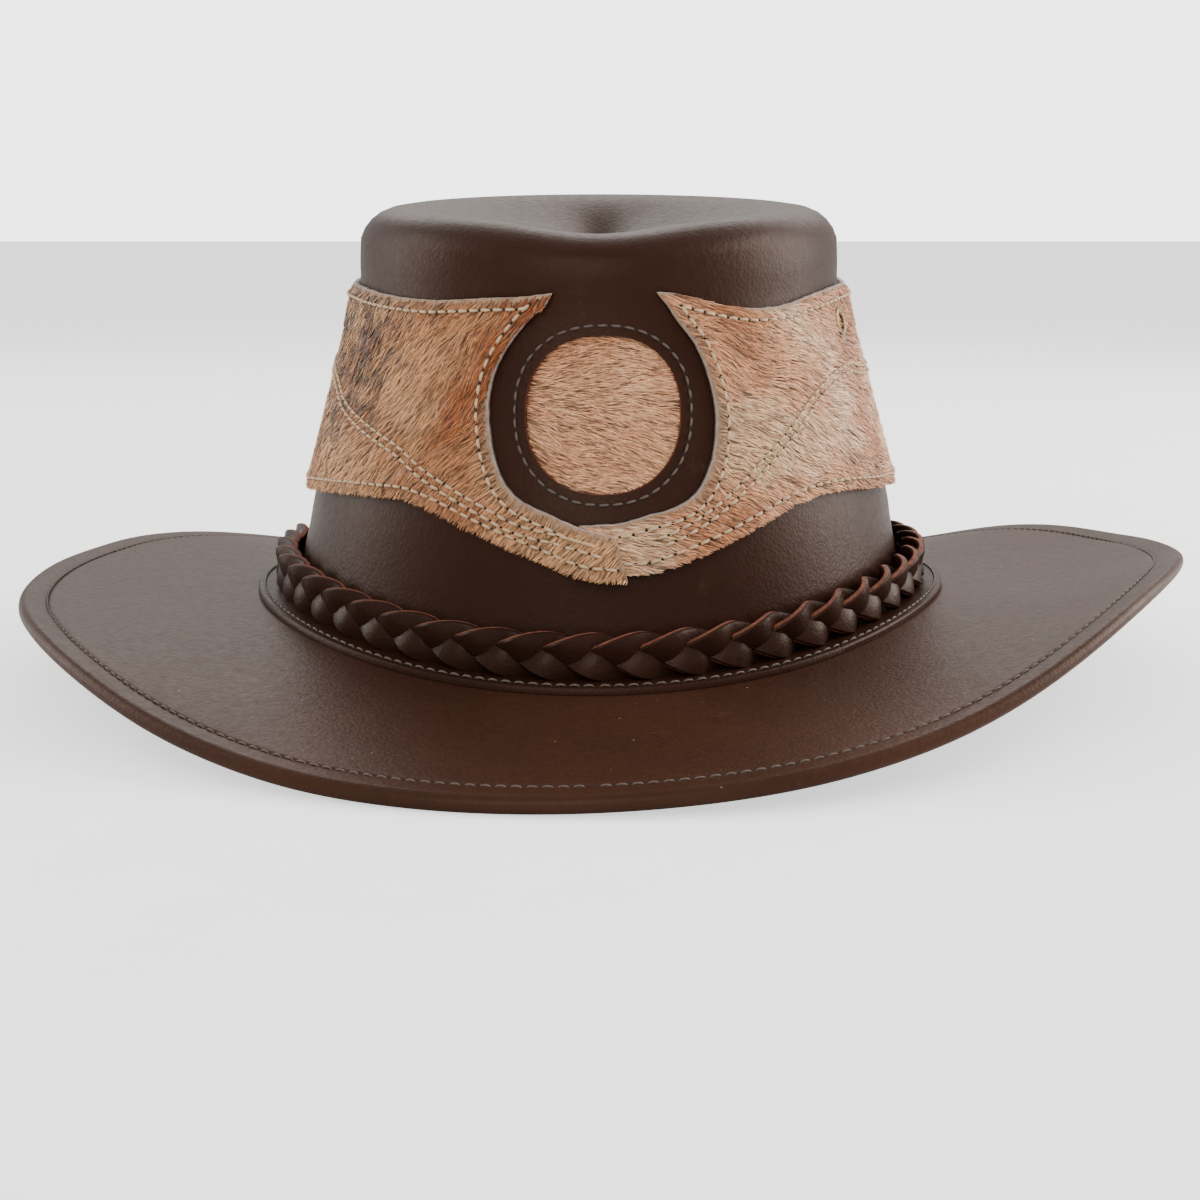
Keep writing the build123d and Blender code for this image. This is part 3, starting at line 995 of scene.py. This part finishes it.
def makeEyelet(name, angle):
    a = math.radians(angle)
    centre = onCrown(a, eyeletZ, 0)
    across = onCrown(a + 0.02, eyeletZ, 0) - onCrown(a - 0.02, eyeletZ, 0)
    rise = onCrown(a, eyeletZ + 1, 0) - onCrown(a, eyeletZ - 1, 0)
    out = across.cross(rise).normalized()
    if out.dot(Vector((centre.x, centre.y, 0))) < 0:
        out = -out
    bpy.ops.mesh.primitive_cylinder_add(vertices=32, radius=eyeletValues["hole"] * mm, depth=14 * mm)
    tool = bpy.context.object
    placed(tool, centre, out)
    applyModifier(crownBody, "BOOLEAN", operation="DIFFERENCE", solver="EXACT", object=tool)
    bpy.data.objects.remove(tool)
    bpy.ops.mesh.primitive_torus_add(
        major_radius=eyeletValues["rim"] * mm, minor_radius=eyeletValues["bead"] * mm,
        major_segments=40, minor_segments=14)
    rim = bpy.context.object
    rim.name = "eyelet_rim_" + name
    rim.data.transform(Matrix.Diagonal((1, 1, 0.7, 1)))
    rim.data.transform(Matrix.Translation((0, 0, eyeletValues["rimOut"] * mm)))
    bpy.ops.mesh.primitive_cylinder_add(
        vertices=40, radius=eyeletValues["barrel"] * mm, depth=eyeletValues["barrelLength"] * mm,
        end_fill_type="NOTHING")
    barrel = bpy.context.object
    bpy.ops.object.select_all(action="DESELECT")
    barrel.select_set(True)
    rim.select_set(True)
    bpy.context.view_layer.objects.active = rim
    bpy.ops.object.join()
    bpy.ops.mesh.primitive_torus_add(
        major_radius=eyeletValues["back"] * mm, minor_radius=eyeletValues["backBead"] * mm,
        major_segments=40, minor_segments=12)
    washer = bpy.context.object
    washer.name = "eyelet_back_" + name
    washer.data.transform(Matrix.Diagonal((1, 1, 0.5, 1)))
    washer.data.transform(Matrix.Translation((0, 0, -eyeletValues["backIn"] * mm)))
    for obj, node in ((rim, "eyelet_" + name), (washer, "eyelet_washer_" + name)):
        placed(obj, centre, out)
        for poly in obj.data.polygons:
            poly.use_smooth = True
        obj.data.materials.clear()
        obj.data.materials.append(antiqueBrass)
        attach(obj, "hat")
        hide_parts(node)


for name, angle in eyelets.items():
    makeEyelet(name, angle)
print("eyelets made")

# sweatband
bandOuter = crownRings(-2.45)[4:13]
bandInner = crownRings(-3.75)[4:13]
rings = bandOuter + bandInner[::-1]
verts = [p - Vector((0, 0, 2.2)) for ring in rings for p in ring]
sweatband = makeMesh("sweatband_body", verts, ringFaces(len(rings), crownValues["around"], closed=True))
outward(sweatband)
sweatband.data.materials.append(bandLeather)
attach(sweatband, "hat")
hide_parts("sweatband")
sweatLine = [p - Vector((0, 0, 2.0)) for p in crownRings(-3.75)[6]]
makeStitches("sweatband_stitches", [sweatLine], "sweatband_thread", brownThread, wallInward, True, 0.34)
print("sweatband made")

# plaited band
plait = {"periods": 16, "swing": 2.9, "depth": 1.9, "width": 6.9, "thick": 2.0, "stand": 4.9,
         "height": 5.9, "steps": 26}


def plaitPoint(t, phase):
    a = 2 * math.pi * t
    turn = 2 * math.pi * plait["periods"] * t + phase
    loose = 0.25 * noise.noise(Vector((math.sin(a) * 3, math.cos(a) * 3, phase)))
    out = plait["stand"] + plait["depth"] * math.sin(2 * turn) + loose
    x, y = ovalPoint(a, out)
    x0, y0 = ovalPoint(a, 8.0)
    z = brimTop(x0, y0) + crownValues["foot"] + plait["height"] + plait["swing"] * math.sin(turn) + loose
    return Vector((x, y, z + hat["seamZ"]))


def makeStrand(index, name, node):
    phase = 2 * math.pi * index / 3
    count = plait["periods"] * plait["steps"]
    w, h = plait["width"] / 2, plait["thick"] / 2
    shape = [(-w, -h + 0.45), (-w + 0.35, -h), (w - 0.35, -h), (w, -h + 0.45), (w, h - 0.45),
             (w - 0.35, h), (w * 0.4, h + 0.18), (-w * 0.4, h + 0.18), (-w + 0.35, h), (-w, h - 0.45)]
    verts = []
    for i in range(count):
        t = i / count
        p = plaitPoint(t, phase)
        along = (plaitPoint(t + 0.0004, phase) - plaitPoint(t - 0.0004, phase)).normalized()
        out = Vector((p.x / 88 ** 2, p.y / 106 ** 2, 0)).normalized()
        turn = 2 * math.pi * plait["periods"] * t + phase
        across = out.cross(along).normalized()
        face = along.cross(across).normalized()
        roll = 0.30 * math.cos(turn)
        wide = across * math.cos(roll) + face * math.sin(roll)
        thick = along.cross(wide).normalized()
        if thick.dot(out) < 0:
            thick = -thick
        for u, v in shape:
            cup = 0.35 * (1 - (u / w) ** 2)
            verts.append(p + wide * u + thick * (v + cup))
    obj = makeMesh(name, verts, ringFaces(count, len(shape), closed=True))
    outward(obj)
    obj.data.materials.append(plaitLeather)
    obj.data.materials.append(rawEdge)
    n = len(shape)
    for i, poly in enumerate(obj.data.polygons):
        if i % n in (0, 3, 9):
            poly.material_index = 1
    bpy.ops.object.shade_smooth_by_angle(angle=math.radians(38))
    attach(obj, "plaited_band")
    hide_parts(node)


for index, word in enumerate(("lower", "middle", "upper")):
    makeStrand(index, "plait_strand_" + word, "band_strand_" + word)

# the keeper that covers the join at the back
keeperValues = {"width": 15, "depth": 9.6, "height": 13.4, "stand": 5.6, "round": 2.2}
keeperY = hat["seamShift"] + hat["seamHalfLength"] + keeperValues["stand"]
keeperZ = brimTop(0, 118) + crownValues["foot"] + plait["height"] + hat["seamZ"]
bpy.ops.mesh.primitive_cube_add(size=1)
keeper = bpy.context.object
keeper.name = "plait_keeper"
for v in keeper.data.vertices:
    v.co = Vector((v.co.x * keeperValues["width"], keeperY + v.co.y * keeperValues["depth"],
                   keeperZ + v.co.z * keeperValues["height"])) * mm
applyModifier(keeper, "BEVEL", width=keeperValues["round"] * mm, segments=4)
keeper.data.materials.append(plaitLeather)
bpy.ops.object.shade_smooth_by_angle(angle=math.radians(50))
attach(keeper, "plaited_band")
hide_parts("band_keeper")
print("plaited band made")

# floor, light and camera
bpy.ops.mesh.primitive_plane_add(size=14)
floor = bpy.context.object
floor.name = "floor"
paleFloor = fibreMaterial("PaleFloor", (0.86, 0.86, 0.86), (0.92, 0.92, 0.92), 30.0, 0.9, 0.02)
floorShader = paleFloor.node_tree.nodes["Principled BSDF"]
floorShader.inputs["Emission Color"].default_value = (1, 1, 1, 1)
seen = paleFloor.node_tree.nodes.new("ShaderNodeLightPath").outputs["Is Camera Ray"]
glow = addMath(paleFloor.node_tree, "MULTIPLY", seen, 1.1)
paleFloor.node_tree.links.new(glow, floorShader.inputs["Emission Strength"])
floor.data.materials.append(paleFloor)

world = bpy.data.worlds.new("SoftStudio")
bpy.context.scene.world = world
world.use_nodes = True
sky = world.node_tree
sky.nodes["Background"].inputs[0].default_value = (1, 1, 1, 1)
rays = sky.nodes.new("ShaderNodeLightPath")
strength = addMath(sky, "ADD", 0.80, addMath(sky, "MULTIPLY", rays.outputs["Is Camera Ray"], 3.0))
sky.links.new(strength, sky.nodes["Background"].inputs[1])


def softLight(name, place, size, power):
    light = bpy.data.lights.new(name, "AREA")
    light.shape = "RECTANGLE"
    light.size, light.size_y = size
    light.energy = power
    light.color = (1.0, 0.93, 0.87)
    obj = bpy.data.objects.new(name, light)
    bpy.context.scene.collection.objects.link(obj)
    obj.location = place
    obj.rotation_euler = (Vector(lightAim) - Vector(place)).to_track_quat("-Z", "Y").to_euler()


lightAim = (0, 0, 0.08)
softLight("window_right", (1.15, 0.25, 0.55), (0.9, 1.1), 27)
softLight("window_left", (-1.15, 0.35, 0.50), (0.8, 1.0), 9)
softLight("behind", (0.1, 1.2, 0.85), (1.4, 0.6), 7)
softLight("front", (-0.25, -1.3, 0.75), (0.9, 0.7), 9)

view = {"distance": 700.0, "elevation": 9.0, "lens": 69.3, "shiftY": -0.029}
e = math.radians(view["elevation"])
camData = bpy.data.cameras.new("front_camera")
camData.lens = view["lens"]
camData.sensor_width = 36
camData.shift_y = view["shiftY"]
camData.clip_start = 0.01
camera = bpy.data.objects.new("front_camera", camData)
bpy.context.scene.collection.objects.link(camera)
aim = Vector((0, 0, hat["seamZ"] * mm))
back = Vector((0, -math.cos(e), math.sin(e)))
camera.location = aim + back * view["distance"] * mm
camera.rotation_euler = (aim - camera.location).to_track_quat("-Z", "Y").to_euler()
bpy.context.scene.camera = camera
print("light and camera set")
